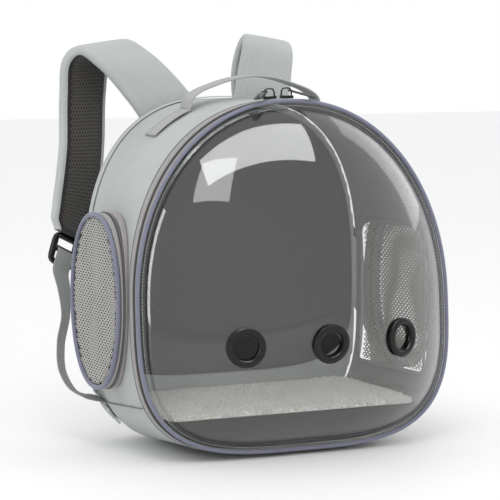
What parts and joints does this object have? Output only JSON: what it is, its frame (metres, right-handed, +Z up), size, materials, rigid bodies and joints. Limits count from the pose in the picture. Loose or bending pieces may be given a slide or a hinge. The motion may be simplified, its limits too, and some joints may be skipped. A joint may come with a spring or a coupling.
{
  "type": "pet carrier backpack",
  "caption": "Arched fabric backpack with a clear domed zip door, air grommets, mesh side pockets and padded straps.",
  "frame": {"origin": "middle of the flat underside of the base, on the symmetry plane", "axes": "+Z up, -Y out through the domed front door, +X to the right when seen from the front"},
  "size_m": [0.3997, 0.3224, 0.428],
  "materials": {
    "fabric": "light cool grey woven fabric",
    "zip_tape": "warm grey woven zip tape",
    "piping": "grey lavender piping",
    "mesh": "warm light grey open mesh",
    "dark_lining": "dark grey lining cloth",
    "strap_mesh": "dark spacer mesh",
    "plush": "off-white short plush",
    "clear_window": "clear, slightly smoky flexible plastic",
    "black_plastic": "gloss black",
    "webbing": "mid grey woven webbing",
    "dark_metal": "gunmetal"
  },
  "bodies": {
    "carrier": {"body_wall": "fabric", "base_panel": "fabric", "window_mesh_left": "mesh", "window_mesh_right": "mesh", "door_piping": "piping", "door_zip_tape": "zip_tape", "zip_coil": "black_plastic", "body_zip_tape": "zip_tape", "zip_trim_line": "piping", "dome_window": "clear_window", "grommet_left": "black_plastic", "grommet_centre": "black_plastic", "grommet_right": "black_plastic", "back_panel": "fabric", "inner_back_board": "dark_lining", "back_binding": "fabric", "floor_pad": "dark_lining", "plush_mat": "plush", "pocket_piping_left": "piping", "pocket_mesh_left": "mesh", "pocket_outer_band_left": "zip_tape", "pocket_coil_left": "black_plastic", "pocket_inner_band_left": "zip_tape", "pocket_slider_left": "dark_metal", "pocket_piping_right": "piping", "pocket_mesh_right": "mesh", "pocket_outer_band_right": "zip_tape", "pocket_coil_right": "black_plastic", "pocket_inner_band_right": "zip_tape", "pocket_slider_right": "dark_metal", "strap_cover_left": "fabric", "strap_lining_left": "strap_mesh", "strap_buckle_left": "black_plastic", "strap_anchor_left": "fabric", "strap_webbing_left": "webbing", "strap_cover_right": "fabric", "strap_lining_right": "strap_mesh", "strap_buckle_right": "black_plastic", "strap_anchor_right": "fabric", "strap_webbing_right": "webbing", "carry_handle": "webbing", "slider_left": "dark_metal", "slider_right": "dark_metal"},
    "pull_left": {"pull_left": "dark_metal"},
    "pull_right": {"pull_right": "dark_metal"}
  },
  "joints": [
    {"name": "pull_left_swing", "type": "hinge", "parent": "carrier", "child": "pull_left", "pos_m": [-0.02288, -0.04808, 0.36819], "axis": [-0.7395, 0.6688, -0.0763], "range_deg": [0, 50]},
    {"name": "pull_right_swing", "type": "hinge", "parent": "carrier", "child": "pull_right", "pos_m": [0.00819, -0.04797, 0.36917], "axis": [-0.8658, -0.4997, 0.0252], "range_deg": [0, 50]}
  ]
}
